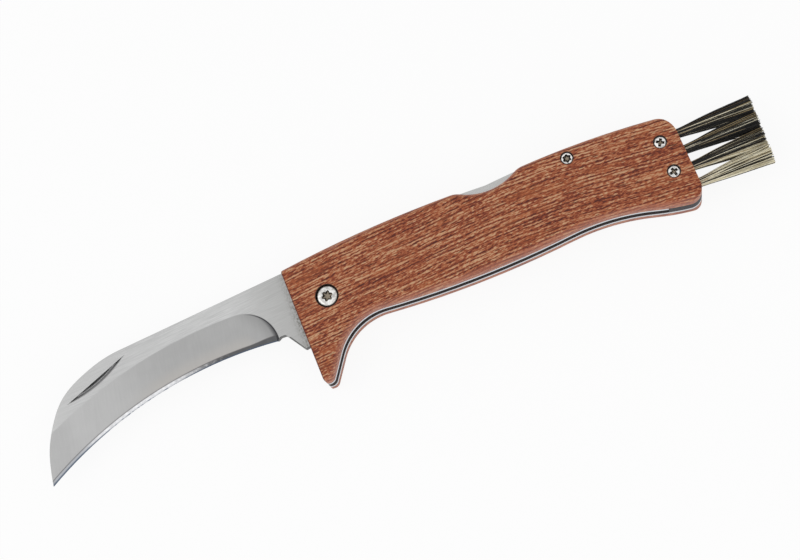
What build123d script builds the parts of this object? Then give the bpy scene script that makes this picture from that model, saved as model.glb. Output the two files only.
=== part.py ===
from build123d import *
import math
import os

os.makedirs("parts", exist_ok=True)

# A folding mushroom knife with a back lock and a brush in the rear of its handle.
# X runs along the handle towards the brush, Y towards the spine of the open blade,
# and Z out of the front scale. The origin is on the blade's pivot axis, in the plane
# of the back scale's outer face. Lengths are in millimetres, angles in degrees.
# The blade is stored open and the lock bar released, its hook just clear of the tang.

# Thicknesses, from which every level through the handle follows
scale_thickness = 4.0
liner_thickness = 1.0
blade_thickness = 2.5
washer_thickness = 0.13

# Fits, clearances and the overrun of the cuts
running_clearance = 0.05
washer_clearance = 0.02
seat_gap = 0.05
fold_clearance = 0.2
overrun = 4.0

# Handle, seen from the front
handle_length = 116.15
grip_height = 24.2
front_reach = 9.4
front_lean = 3.5
rear_lean = 3.4
front_reach_share = -0.08
rear_reach_share = -0.227
front_top_radius = 1.0
guard_depth = 22.85
guard_root_radius = 17.0
guard_tip_width = 2.2
guard_tip_share = 0.886
guard_front_share = 0.41
rear_top_radius = 6.5
rear_belly_radius = 3.8
edge_round = 1.85
scallop_share = 0.524
scallop_top_share = 0.650
scallop_radius = 16.3
scallop_depth = 2.75
scallop_lip_radius = 6.0
top_line_shares = [
    (-0.048, 0.4510),
    (0.2531, 0.6111),
    (0.5243, 0.6322),
    (0.7697, 0.6957),
    (1.045, 0.6075),
]
belly_line_shares = [
    (0.1152, -0.2911),
    (0.391, -0.3548),
    (0.6775, -0.2676),
    (0.8813, -0.3358),
    (1.045, -0.4293),
]

# Brush block and its four tufts
block_length = 10.3
tuft_count = 4
tuft_pitch_share = 0.2136
first_tuft_share = -0.186
tuft_hole_radius = 1.3
tuft_hole_depth = 3.6
tuft_sink = 0.5
anchor_thickness = 0.3
anchor_length = 2.2
anchor_width = 1.2
bristle_reach = 21.65
bristle_radius = 0.09
bristle_pitch = 0.245
bristle_root = 0.3
bristle_unevenness = 0.6
tuft_spread_share = 2.05
tuft_depth_share = 1.6
tuft_lean_shares = [0.184, 0.147, 0.112, 0.076]

# Blade, from the pivot to the tip
closing_angle = 172.0
tip_clearance = 3.2
tip_drop_share = 0.960
spine_root_shares = (0.160, 0.4868)
spine_bend_shares = (0.685, 0.3017)
spine_drop_shares = [(0.809, 0.174), (0.902, -0.0426), (0.957, -0.355)]
edge_apex_shares = (0.3056, -0.2227)
heel_share = 0.1935
choil_width = 1.6
choil_run = 0.9
choil_height = 0.75
choil_radius = 0.6
kick_reach = 10.9
kick_drop = 10.8
kick_width = 1.9
kick_radius = 0.8
kick_flank_shares = (-0.84, -0.35)
tang_radius = 8.6
grind_height = 10.65
bevel_height = 1.1
bevel_thickness = 0.6
edge_thickness = 0.1
plunge_slope = 40.0
nick_centre_shares = (0.7772, 0.0605)
nick_angle = 22.4
nick_depth = 0.8
nick_width = 1.7
nick_cutter_radius = 73.0

# Back lock: a bar rocking on a pin, and the leaf spring under its tail
lock_angle = 2.2
lock_pin_shares = (0.4124, 0.496)
lock_pin_radius = 1.25
lock_boss_wall = 1.5
hook_front = 0.8
hook_width = 3.7
bar_end_share = 0.619
bar_tail_share = 0.479
bar_corner_radius = 0.8
bar_proud = 0.55
spring_thickness = 0.8
spring_width = 2.3
spring_tip_share = 0.477
spring_root_share = 0.388
spring_socket = 5.0
spring_sag = 0.6

# Spacer behind the lock bar
spacer_gap = 0.7
spacer_floor_share = 0.314
spacer_knee_share = 0.770

# Fasteners, each a barrel from the back and a screw from the front
head_sink = 0.1
washer_radius = 4.5
pivot_head_radius = 2.75
pivot_head_height = 1.5
pivot_ring_gap = 0.45
pivot_barrel_radius = 2.5
pivot_screw_radius = 1.5
spacer_head_radius = 1.6
brush_head_radius = 1.65
small_head_height = 1.1
small_ring_gap = 0.15
small_barrel_radius = 1.25
small_screw_radius = 0.75
spacer_screw_shares = (0.7278, 0.5605)
brush_upper_inset = 6.25
brush_upper_share = 0.358
brush_lower_inset = 5.63
brush_lower_share = -0.0213
bevel_share = 0.2
drive_depth_share = 0.55
lobe_place_share = 0.30
lobe_radius_share = 0.11
lobe_core_share = 0.29
cross_length_share = 1.2
cross_width_share = 0.34
slot_width_share = 0.3


def along(share):
    """Place along the handle, from its front edge at 0 to its rear edge at 1."""
    return share * handle_length - front_reach


def up(share):
    """Height above the pivot axis, as a share of the grip's height."""
    return share * grip_height


def turned(point, angle):
    """The point turned about the pivot axis."""
    cosine = math.cos(math.radians(angle))
    sine = math.sin(math.radians(angle))
    return (point[0] * cosine - point[1] * sine, point[0] * sine + point[1] * cosine)


def front_edge(height):
    """Where the leaning front edge of the handle is at a height."""
    return -front_reach - math.tan(math.radians(front_lean)) * (height - up(front_reach_share))


def rear_edge(height):
    """Where the leaning rear edge of the handle is at a height."""
    return along(1) - math.tan(math.radians(rear_lean)) * (height - up(rear_reach_share))


# Levels
liner_back_level = scale_thickness
slot_floor = liner_back_level + liner_thickness
slot_width = blade_thickness + 2 * (washer_thickness + washer_clearance)
slot_roof = slot_floor + slot_width
scale_front_level = slot_roof + liner_thickness
top_level = scale_front_level + scale_thickness
middle_level = slot_floor + slot_width / 2
blade_floor = middle_level - blade_thickness / 2
blade_roof = middle_level + blade_thickness / 2
tuft_level = (slot_floor + scale_front_level) / 2

# Places that several pieces share
block_front = along(1) - block_length
lock_pin = (along(lock_pin_shares[0]), up(lock_pin_shares[1]))
bar_end = along(bar_end_share)
spacer_front = bar_end + spacer_gap
tuft_pitch = up(tuft_pitch_share)
tip_drop = up(tip_drop_share)
blade_length = math.sqrt((block_front - tip_clearance) ** 2 - tip_drop**2)
blade_tip = (-blade_length, -tip_drop)
fasteners = {
    "pivot": {
        "place": (0, 0),
        "head": pivot_head_radius,
        "height": pivot_head_height,
        "ring": pivot_ring_gap,
        "barrel": pivot_barrel_radius,
        "screw": pivot_screw_radius,
    },
    "spacer": {
        "place": (along(spacer_screw_shares[0]), up(spacer_screw_shares[1])),
        "head": spacer_head_radius,
        "height": small_head_height,
        "ring": small_ring_gap,
        "barrel": small_barrel_radius,
        "screw": small_screw_radius,
    },
    "brush_upper": {
        "place": (along(1) - brush_upper_inset, up(brush_upper_share)),
        "head": brush_head_radius,
        "height": small_head_height,
        "ring": small_ring_gap,
        "barrel": small_barrel_radius,
        "screw": small_screw_radius,
    },
    "brush_lower": {
        "place": (along(1) - brush_lower_inset, up(brush_lower_share)),
        "head": brush_head_radius,
        "height": small_head_height,
        "ring": small_ring_gap,
        "barrel": small_barrel_radius,
        "screw": small_screw_radius,
    },
}

# The handle's full plan runs past its front and rear edges, so that the long edges
# of the scales can be rounded before the ends are cut off square. Two arcs along the
# top meet where the scallop is cut, and three along the belly make grip, waist and foot.
top_points = [(along(x), up(y)) for x, y in top_line_shares]
belly_points = [(along(x), up(y)) for x, y in belly_line_shares]
guard_root = belly_points[0]
guard_tip = (front_edge(-guard_depth) + guard_tip_width, -guard_depth)
plan_corner = (top_points[0][0], -guard_depth)

with BuildSketch() as full_plan:
    with BuildLine():
        ThreePointArc(*top_points[:3])
        ThreePointArc(*top_points[2:])
        grip = ThreePointArc(*belly_points[:3])
        waist = TangentArc(grip @ 1, belly_points[3], tangent=grip % 1)
        TangentArc(waist @ 1, belly_points[4], tangent=waist % 1)
        Line(top_points[-1], belly_points[-1])
        Polyline(guard_root, guard_tip, plan_corner, top_points[0])
    make_face()
    for corner, radius in (
        (guard_root, guard_root_radius),
        (guard_tip, guard_tip_share * guard_tip_width),
    ):
        fillet(full_plan.vertices().sort_by_distance(corner)[0], radius=radius)

# The thumb's scallop over the tail of the lock bar
scallop_centre = (along(scallop_share), up(scallop_top_share) - scallop_depth + scallop_radius)

with BuildSketch() as long_plan:
    add(full_plan.sketch)
    with Locations(scallop_centre):
        Circle(scallop_radius, mode=Mode.SUBTRACT)
    fillet(long_plan.vertices().sort_by_distance(scallop_centre)[0:2], radius=scallop_lip_radius)

with BuildSketch() as handle_plan:
    add(long_plan.sketch)
    with BuildLine():
        Polyline(
            (front_edge(guard_depth), guard_depth),
            (front_edge(-guard_depth), -guard_depth),
            (rear_edge(-guard_depth), -guard_depth),
            (rear_edge(guard_depth), guard_depth),
            close=True,
        )
    make_face(mode=Mode.INTERSECT)
    for corner, radius in (
        ((front_edge(-guard_depth), -guard_depth), guard_front_share * guard_tip_width),
        ((front_edge(top_points[0][1]), top_points[0][1]), front_top_radius),
        ((rear_edge(top_points[-1][1]), top_points[-1][1]), rear_top_radius),
        ((rear_edge(belly_points[-1][1]), belly_points[-1][1]), rear_belly_radius),
    ):
        fillet(handle_plan.vertices().sort_by_distance(corner)[0], radius=radius)

# Scales: wood, with the long outer edges rounded and the ends left crisp
with BuildPart() as scale_front:
    with BuildSketch(Plane.XY.offset(scale_front_level)):
        add(long_plan.sketch)
    extrude(amount=scale_thickness)
    outer_face = scale_front.faces().sort_by(Axis.Z)[-1]
    fillet(outer_face.edges().filter_by(Axis.Y, reverse=True), radius=edge_round)
    with BuildSketch(Plane.XY.offset(scale_front_level)):
        add(handle_plan.sketch)
    extrude(amount=scale_thickness, mode=Mode.INTERSECT)
    for fastener in fasteners.values():
        with Locations((*fastener["place"], top_level)):
            CounterBoreHole(
                radius=fastener["barrel"] + running_clearance,
                counter_bore_radius=fastener["head"] + fastener["ring"],
                counter_bore_depth=fastener["height"] + head_sink,
            )
scale_front.part.label = "scale_front"
export_step(scale_front.part, "parts/scale_front.step")

with BuildPart() as scale_back:
    mirror(scale_front.part, about=Plane.XY.offset(middle_level))
scale_back.part.label = "scale_back"
export_step(scale_back.part, "parts/scale_back.step")

# Liners: the back one has the handle's whole plan, the front one ends at the block
with BuildSketch() as liner_plan:
    add(handle_plan.sketch)
    for fastener in fasteners.values():
        with Locations(fastener["place"]):
            Circle(fastener["barrel"] + running_clearance, mode=Mode.SUBTRACT)
    with Locations(lock_pin):
        Circle(lock_pin_radius + running_clearance, mode=Mode.SUBTRACT)

with BuildPart() as liner_back:
    with BuildSketch(Plane.XY.offset(liner_back_level)):
        add(liner_plan.sketch)
    extrude(amount=liner_thickness)
liner_back.part.label = "liner_back"
export_step(liner_back.part, "parts/liner_back.step")

with BuildPart() as liner_front:
    with BuildSketch(Plane.XY.offset(slot_roof)):
        add(liner_plan.sketch)
        with Locations((block_front - seat_gap, 0)):
            Rectangle(
                2 * handle_length,
                4 * guard_depth,
                align=(Align.MAX, Align.CENTER),
                mode=Mode.INTERSECT,
            )
    extrude(amount=liner_thickness)
liner_front.part.label = "liner_front"
export_step(liner_front.part, "parts/liner_front.step")

# Lock bar: its underside passes over the folded blade's kick even when the hook is down,
# and its back stands a little proud of the wood
folded_kick = turned((-kick_reach, -kick_drop), closing_angle)
hook_fall = (lock_pin[0] - folded_kick[0]) * math.sin(math.radians(lock_angle))
bar_underside = folded_kick[1] + hook_fall + fold_clearance
tail_underside = up(bar_tail_share)

with BuildSketch() as bar_plan:
    with BuildLine():
        Polyline(
            (hook_front, guard_depth),
            (hook_front, 0),
            (hook_front + hook_width, 0),
            (hook_front + hook_width, bar_underside),
            (lock_pin[0], bar_underside),
            (lock_pin[0], tail_underside),
            (bar_end, tail_underside),
            (bar_end, guard_depth),
            close=True,
        )
    make_face()
    Circle(tang_radius + fold_clearance, mode=Mode.SUBTRACT)
    add(full_plan.sketch.translate((0, bar_proud, 0)), mode=Mode.INTERSECT)
    tail_corner = bar_plan.vertices().sort_by_distance((bar_end, tail_underside))[0]
    fillet(tail_corner, radius=bar_corner_radius)
    with Locations(lock_pin):
        Circle(lock_pin_radius + lock_boss_wall)

with BuildPart() as lock_bar:
    with BuildSketch(Plane.XY.offset(blade_floor)):
        add(bar_plan.sketch)
        with Locations(lock_pin):
            Circle(lock_pin_radius + running_clearance, mode=Mode.SUBTRACT)
    extrude(amount=blade_thickness)
lock_bar.part.label = "lock_bar"
export_step(lock_bar.part, "parts/lock_bar.step")

with BuildPart() as lock_bar_pin:
    with BuildSketch(Plane.XY.offset(liner_back_level)):
        with Locations(lock_pin):
            Circle(lock_pin_radius)
    extrude(amount=scale_front_level - liner_back_level)
lock_bar_pin.part.label = "lock_bar_pin"
export_step(lock_bar_pin.part, "parts/lock_bar_pin.step")

# Room that the bar takes up from released to locked, with a clearance all round
with BuildSketch() as bar_room:
    offset(bar_plan.sketch, amount=fold_clearance)
    add(bar_room.sketch.rotate(Axis((*lock_pin, 0), (0, 0, 1)), lock_angle))

# Leaf spring, let into the spacer, with its tip under the tail of the bar
spring_tip = (along(spring_tip_share), tail_underside - seat_gap - spring_thickness / 2)
spring_root = (spacer_front + spring_socket, up(spring_root_share))
spring_middle = (
    (spring_tip[0] + spring_root[0]) / 2,
    (spring_tip[1] + spring_root[1]) / 2 - spring_sag,
)

with BuildPart() as lock_spring:
    with BuildSketch(Plane.XY.offset(middle_level - spring_width / 2)):
        with BuildLine():
            ThreePointArc(spring_tip, spring_middle, spring_root)
        trace(line_width=spring_thickness)
    extrude(amount=spring_width)
lock_spring.part.label = "lock_spring"
export_step(lock_spring.part, "parts/lock_spring.step")

# Spacer: fills the spine side of the slot from the lock bar to the brush block,
# and stays above the edge and the tip of the folded blade
folded_tip = turned(blade_tip, closing_angle)

with BuildSketch() as spacer_plan:
    with BuildLine():
        Polyline(
            (spacer_front, guard_depth),
            (spacer_front, up(spacer_floor_share)),
            (along(spacer_knee_share), up(spacer_floor_share)),
            (block_front, folded_tip[1] + tip_clearance),
            (block_front, guard_depth),
            close=True,
        )
    make_face()
    add(handle_plan.sketch, mode=Mode.INTERSECT)
    with Locations(fasteners["spacer"]["place"]):
        Circle(small_barrel_radius + running_clearance, mode=Mode.SUBTRACT)
    with BuildLine():
        ThreePointArc(spring_tip, spring_middle, spring_root)
    trace(line_width=spring_thickness + 2 * running_clearance, mode=Mode.SUBTRACT)

with BuildPart() as back_spacer:
    with BuildSketch(Plane.XY.offset(slot_floor)):
        add(spacer_plan.sketch)
    extrude(amount=slot_width)
back_spacer.part.label = "back_spacer"
export_step(back_spacer.part, "parts/back_spacer.step")

# Blade plan: spine, drooping point, edge in one arc, heel, choil, kick and round tang
edge_apex = (-edge_apex_shares[0] * blade_length, up(edge_apex_shares[1]))
edge_run = edge_apex[0] - blade_tip[0]
edge_fall = edge_apex[1] - blade_tip[1]
edge_radius = (edge_run**2 + edge_fall**2) / (2 * edge_fall)
edge_centre = (edge_apex[0], edge_apex[1] - edge_radius)
heel_x = -heel_share * blade_length
heel = (heel_x, edge_centre[1] + math.sqrt(edge_radius**2 - (heel_x - edge_centre[0]) ** 2))
choil_start = (heel[0] + choil_run, heel[1] + choil_height)
choil_end = (choil_start[0] + choil_width, choil_start[1])
kick = (-kick_reach, -kick_drop)
spine_root = (-spine_root_shares[0] * blade_length, up(spine_root_shares[1]))
spine_bend = (-spine_bend_shares[0] * blade_length, up(spine_bend_shares[1]))
spine_slope = (spine_root[1] - spine_bend[1]) / (spine_root[0] - spine_bend[0])
spine_end = (hook_front, spine_root[1] + spine_slope * (hook_front - spine_root[0]))
spine_drop = [(-x * blade_length, up(y)) for x, y in spine_drop_shares]

with BuildSketch() as blade_plan:
    with BuildLine():
        Line(spine_end, spine_bend)
        Spline(
            spine_bend,
            *spine_drop,
            blade_tip,
            tangents=[(-1, -spine_slope), (-0.12, -1)],
        )
        ThreePointArc(blade_tip, edge_apex, heel)
        Polyline(
            heel,
            choil_start,
            choil_end,
            kick,
            (kick[0] + kick_width, kick[1]),
            (kick_flank_shares[0] * tang_radius, kick_flank_shares[1] * tang_radius),
            (0, 0),
            (hook_front, 0),
            spine_end,
        )
    make_face()
    for corner, radius in (
        (choil_start, choil_radius),
        (choil_end, choil_radius),
        (kick, kick_radius),
    ):
        fillet(blade_plan.vertices().sort_by_distance(corner)[0], radius=radius)
    Circle(tang_radius)
    add(bar_room.sketch, mode=Mode.SUBTRACT)
    add(bar_room.sketch.rotate(Axis.Z, -closing_angle), mode=Mode.SUBTRACT)
    Circle(pivot_barrel_radius + running_clearance, mode=Mode.SUBTRACT)

# What the grind takes off the front face: a shallow cone about the centre of the
# edge's arc, steeper over the cutting bevel, which ends in a plunge round the heel
with BuildPart() as grind_room:
    with Locations((edge_apex[0], 0, blade_roof)):
        Box(
            2 * blade_length,
            4 * guard_depth,
            2 * blade_thickness,
            align=(Align.MAX, Align.CENTER, Align.CENTER),
        )
    with Locations((*edge_apex, middle_level)):
        Cone(
            bottom_radius=grind_height
            - blade_thickness / 2 * math.tan(math.radians(plunge_slope)),
            top_radius=grind_height,
            height=blade_thickness / 2,
            align=(Align.CENTER, Align.CENTER, Align.MIN),
        )

with BuildPart() as grind:
    with BuildSketch(
        Plane(origin=(*edge_centre, middle_level), x_dir=(0, 1, 0), z_dir=(1, 0, 0))
    ):
        with BuildLine():
            Polyline(
                (edge_radius - overrun, edge_thickness / 2),
                (edge_radius, edge_thickness / 2),
                (edge_radius + bevel_height, bevel_thickness / 2),
                (edge_radius + grind_height, blade_thickness / 2),
                (edge_radius + grind_height, blade_thickness / 2 + overrun),
                (edge_radius - overrun, blade_thickness / 2 + overrun),
                close=True,
            )
        make_face()
    revolve(axis=Axis((*edge_centre, 0), (0, 0, 1)))
    add(grind_room.part, mode=Mode.INTERSECT)

# Nail nick: the mark of a disc cutter with one flat and one conical side
nick_place = (-nick_centre_shares[0] * blade_length, up(nick_centre_shares[1]))
nick_turn = math.radians(nick_angle)
nick_run = (-math.cos(nick_turn), -math.sin(nick_turn), 0)
nick_fall = (math.sin(nick_turn), -math.cos(nick_turn), 0)

with BuildPart() as nick:
    with BuildSketch(Plane(origin=(*nick_place, blade_roof), x_dir=nick_fall, z_dir=nick_run)):
        with BuildLine():
            Polyline(
                (0, -nick_depth),
                (2 * nick_width, nick_depth),
                (0, nick_depth),
                close=True,
            )
        make_face()
    cutter_axis = Axis((*nick_place, blade_roof + nick_cutter_radius - nick_depth), nick_fall)
    revolve(axis=cutter_axis)

with BuildPart() as blade:
    with BuildSketch(Plane.XY.offset(blade_floor)):
        add(blade_plan.sketch)
    extrude(amount=blade_thickness)
    add(grind.part, mode=Mode.SUBTRACT)
    mirror(grind.part, about=Plane.XY.offset(middle_level), mode=Mode.SUBTRACT)
    add(nick.part, mode=Mode.SUBTRACT)
blade.part.label = "blade"
export_step(blade.part, "parts/blade.step")

# Washers, one each side of the tang
for name, floor in (
    ("washer_back", slot_floor),
    ("washer_front", slot_roof - washer_thickness),
):
    with BuildPart() as washer:
        with BuildSketch(Plane.XY.offset(floor)):
            Circle(washer_radius)
            Circle(pivot_barrel_radius + running_clearance, mode=Mode.SUBTRACT)
        extrude(amount=washer_thickness)
    washer.part.label = name
    export_step(washer.part, "parts/" + name + ".step")

# Brush block: fills the slot and the front liner's depth round the rear end
tuft_heights = [up(first_tuft_share) + tuft_pitch * number for number in range(tuft_count)]

with BuildPart() as brush_block:
    with BuildSketch(Plane.XY.offset(slot_floor)):
        add(handle_plan.sketch)
        with Locations((block_front, 0)):
            Rectangle(
                handle_length,
                4 * guard_depth,
                align=(Align.MIN, Align.CENTER),
                mode=Mode.INTERSECT,
            )
        for name in ("brush_upper", "brush_lower"):
            with Locations(fasteners[name]["place"]):
                Circle(small_barrel_radius + running_clearance, mode=Mode.SUBTRACT)
    extrude(amount=scale_front_level - slot_floor)
    for height in tuft_heights:
        with BuildSketch(Plane.YZ.offset(rear_edge(height) - tuft_hole_depth)):
            with Locations((height, tuft_level)):
                Circle(tuft_hole_radius)
        extrude(amount=tuft_hole_depth + overrun, mode=Mode.SUBTRACT)
brush_block.part.label = "brush_block"
export_step(brush_block.part, "parts/brush_block.step")

# Staples that hold the folded tufts at the bottom of their holes
with BuildPart() as tuft_anchors:
    for height in tuft_heights:
        with BuildSketch(Plane.YZ.offset(rear_edge(height) - tuft_hole_depth)):
            with Locations((height, tuft_level)):
                Rectangle(anchor_length, anchor_width)
        extrude(amount=anchor_thickness)
tuft_anchors.part.label = "tuft_anchors"
export_step(tuft_anchors.part, "parts/tuft_anchors.step")

# Tufts: a bound plug in the hole, and strands that fan out from it to the tips
plug_radius = tuft_hole_radius - running_clearance
bundle_radius = plug_radius - bristle_radius
strand_rows = 2 * math.ceil(bundle_radius / bristle_pitch) + 3
tip_plane = along(1) + bristle_reach
for number, height in enumerate(tuft_heights):
    plug_start = rear_edge(height) - tuft_hole_depth + anchor_thickness + seat_gap
    plug_end = rear_edge(height) - tuft_sink
    strand_start = plug_end - bristle_root
    tip_height = height + tuft_lean_shares[number % len(tuft_lean_shares)] * tuft_pitch
    with BuildSketch(Plane.YZ.offset(strand_start)) as roots:
        with Locations((height, tuft_level)):
            with HexLocations(bristle_pitch / 2, strand_rows, strand_rows):
                RegularPolygon(bristle_radius, 3)
    with BuildPart() as tuft:
        with BuildSketch(Plane.YZ.offset(plug_start)):
            with Locations((height, tuft_level)):
                Circle(plug_radius)
        extrude(amount=plug_end - plug_start)
        strands = []
        for order, root in enumerate(roots.sketch.faces()):
            place = root.center()
            aside = place.Y - height
            out = place.Z - tuft_level
            if math.hypot(aside, out) > bundle_radius:
                continue
            cut_back = bristle_unevenness * (1 + math.sin(order * order)) / 2
            run = Vector(
                tip_plane - cut_back - strand_start,
                tip_height + tuft_spread_share * aside - place.Y,
                tuft_level + tuft_depth_share * out - place.Z,
            )
            strands.append(extrude(root, amount=run.length, dir=run, mode=Mode.PRIVATE))
        add(strands)
    name = "bristle_tuft_" + str(number + 1)
    tuft.part.label = name
    export_step(tuft.part, "parts/" + name + ".step")
    print(name, "strands", len(strands))


def bevelled_head(fastener):
    """Half of a head's outline: a straight rim, a bevel and a flat top."""
    radius = fastener["head"]
    height = fastener["height"]
    bevel = bevel_share * height
    Polyline(
        (0, 0),
        (radius, 0),
        (radius, height - bevel),
        (radius - bevel, height),
        (0, height),
        close=True,
    )


def six_lobes(radius):
    """Outline of the recess for a six-lobed driver in a head of a radius."""
    Circle(lobe_core_share * radius)
    with PolarLocations(lobe_place_share * radius, 6):
        Circle(lobe_radius_share * radius)


def cross(radius):
    """Outline of the recess for a cross driver in a head of a radius."""
    Rectangle(cross_length_share * radius, cross_width_share * radius)
    Rectangle(cross_width_share * radius, cross_length_share * radius)


# Barrels with slotted heads stand in the back scale. The screws run into them from
# the front: those of the pivot and the spacer are six-lobed, the others cross-headed.
for name, fastener in fasteners.items():
    x, y = fastener["place"]
    radius = fastener["head"]
    head_floor = top_level - head_sink - fastener["height"]
    barrel_floor = 2 * middle_level - head_floor
    drive_depth = drive_depth_share * fastener["height"]

    with BuildPart() as screw:
        with BuildSketch(Plane(origin=(x, y, head_floor), x_dir=(1, 0, 0), z_dir=(0, -1, 0))):
            with BuildLine():
                bevelled_head(fastener)
            make_face()
        revolve(axis=Axis((x, y, 0), (0, 0, 1)))
        with BuildSketch(Plane.XY.offset(middle_level)):
            with Locations((x, y)):
                Circle(fastener["screw"] - running_clearance)
        extrude(amount=head_floor - middle_level)
        with BuildSketch(Plane(origin=(x, y, top_level - head_sink - drive_depth))):
            if name in ("pivot", "spacer"):
                six_lobes(radius)
            else:
                cross(radius)
        extrude(amount=drive_depth + overrun, mode=Mode.SUBTRACT)
    screw.part.label = name + "_screw"
    export_step(screw.part, "parts/" + name + "_screw.step")

    with BuildPart() as barrel:
        with BuildSketch(Plane(origin=(x, y, barrel_floor), x_dir=(1, 0, 0), z_dir=(0, 1, 0))):
            with BuildLine():
                bevelled_head(fastener)
            make_face()
        revolve(axis=Axis((x, y, 0), (0, 0, 1)))
        with BuildSketch(Plane.XY.offset(barrel_floor)):
            with Locations((x, y)):
                Circle(fastener["barrel"])
        extrude(amount=2 * (head_floor - middle_level) - seat_gap)
        with BuildSketch(Plane(origin=(x, y, head_sink - overrun))):
            Rectangle(2 * radius + overrun, slot_width_share * radius)
        extrude(amount=overrun + drive_depth, mode=Mode.SUBTRACT)
        with BuildSketch(Plane.XY.offset(middle_level - seat_gap)):
            with Locations((x, y)):
                Circle(fastener["screw"])
        extrude(amount=head_floor, mode=Mode.SUBTRACT)
    barrel.part.label = name + "_barrel"
    export_step(barrel.part, "parts/" + name + "_barrel.step")
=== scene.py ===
# %% [markdown]
# # Dressing a folding mushroom knife
#
# The knife's structure is already modelled: the frame below holds its scales, liners,
# blade, lock and screws as exact solids. This lesson gives them wood, steel and plastic
# finishes, and makes the pieces that solids can't show well: the brush's hair and the
# finely shaped screw heads. The frame is loaded first and never moved, so that every
# new piece can be placed by the solids' own sizes.

import math
import random

import bmesh
import bpy
from mathutils import Matrix, Vector


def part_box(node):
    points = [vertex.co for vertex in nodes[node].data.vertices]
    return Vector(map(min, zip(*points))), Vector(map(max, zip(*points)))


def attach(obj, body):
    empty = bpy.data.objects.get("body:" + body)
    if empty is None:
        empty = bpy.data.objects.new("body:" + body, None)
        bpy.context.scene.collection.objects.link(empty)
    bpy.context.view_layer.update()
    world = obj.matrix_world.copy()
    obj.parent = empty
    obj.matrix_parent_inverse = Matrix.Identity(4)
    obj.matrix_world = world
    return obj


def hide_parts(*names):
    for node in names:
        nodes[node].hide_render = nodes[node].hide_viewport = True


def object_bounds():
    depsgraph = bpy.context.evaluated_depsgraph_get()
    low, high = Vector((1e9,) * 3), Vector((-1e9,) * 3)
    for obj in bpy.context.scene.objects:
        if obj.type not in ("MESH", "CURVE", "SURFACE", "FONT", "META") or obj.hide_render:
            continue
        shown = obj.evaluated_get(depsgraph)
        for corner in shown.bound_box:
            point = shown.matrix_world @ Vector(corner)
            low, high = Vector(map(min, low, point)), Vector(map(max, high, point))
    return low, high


mm = 0.001
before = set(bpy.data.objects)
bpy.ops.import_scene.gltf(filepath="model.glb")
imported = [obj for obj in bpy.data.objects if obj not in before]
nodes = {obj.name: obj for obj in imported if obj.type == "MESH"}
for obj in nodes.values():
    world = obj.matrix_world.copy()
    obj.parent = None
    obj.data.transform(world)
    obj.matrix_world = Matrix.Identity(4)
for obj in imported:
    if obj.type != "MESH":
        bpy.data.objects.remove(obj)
cad_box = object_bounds()
print("nodes", len(nodes), "size in mm", [round(x / mm, 1) for x in cad_box[1] - cad_box[0]])

# %% [markdown]
# ## Camera
#
# The knife was photographed lying flat, almost from straight above, with a long lens.
# The camera leans towards the belly of the handle, which is why the two bright liners
# and the lower scale show as thin lines along it. The picture is also turned, so that the
# handle rises to the right. A direction towards the camera and a roll describe all of
# this, and the three axes of the camera follow from them.

# %% Camera
aim = Vector((20.2, -2.95, 12.8)) * mm
camera_distance = 520 * mm
belly_tilt = math.radians(16)
side_tilt = math.radians(3.8)
roll = math.radians(20)

back = Vector((math.tan(side_tilt), -math.tan(belly_tilt), 1)).normalized()
level = (Vector((1, 0, 0)) - back * back.x).normalized()
upright = back.cross(level)
right = level * math.cos(roll) - upright * math.sin(roll)
up = level * math.sin(roll) + upright * math.cos(roll)

lens = bpy.data.cameras.new("camera")
lens.lens = 85
lens.sensor_width = 36
lens.clip_start = 0.01
camera = bpy.data.objects.new("camera", lens)
bpy.context.scene.collection.objects.link(camera)
turn = Matrix((right, up, back)).transposed().to_4x4()
framing = right * 0.355 * mm + up * 0.08 * mm
camera.matrix_world = Matrix.Translation(aim + framing + back * camera_distance) @ turn
bpy.context.scene.camera = camera
print("camera at", [round(x, 3) for x in camera.location])

# %% [markdown]
# ## Shader maths
#
# A procedural material is mostly arithmetic on patterns. Adding each Math node by hand
# makes that hard to read, so a small class wraps an output socket and lets Python's own
# signs add the nodes.


# %% Sockets that add up
class Wire:
    """An output of a node, which sums in Python extend with Math nodes."""

    def __init__(self, board, socket):
        self.board = board
        self.socket = socket

    def math(self, operation, first, second=0):
        return self.board.add("ShaderNodeMath", {"operation": operation}, {0: first, 1: second})

    def __add__(self, other):
        return self.math("ADD", self, other)

    def __radd__(self, other):
        return self.math("ADD", other, self)

    def __sub__(self, other):
        return self.math("SUBTRACT", self, other)

    def __rsub__(self, other):
        return self.math("SUBTRACT", other, self)

    def __mul__(self, other):
        return self.math("MULTIPLY", self, other)

    def __rmul__(self, other):
        return self.math("MULTIPLY", other, self)

    def __pow__(self, other):
        return self.math("POWER", self, other)

    def __abs__(self):
        return self.math("ABSOLUTE", self)

    def sine(self):
        return self.math("SINE", self)

    def higher(self, other):
        return self.math("MAXIMUM", self, other)

    def lower(self, other):
        return self.math("MINIMUM", self, other)

    def output(self, name):
        """Another output of the node that this one comes from."""
        return Wire(self.board, self.socket.node.outputs[name])


# %% [markdown]
# A second class holds the node tree of a material or of the world. It adds any other node
# in one call: the node's settings first, because some of them change which sockets it has,
# then its inputs. The world around the knife needs no more than that.


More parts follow.
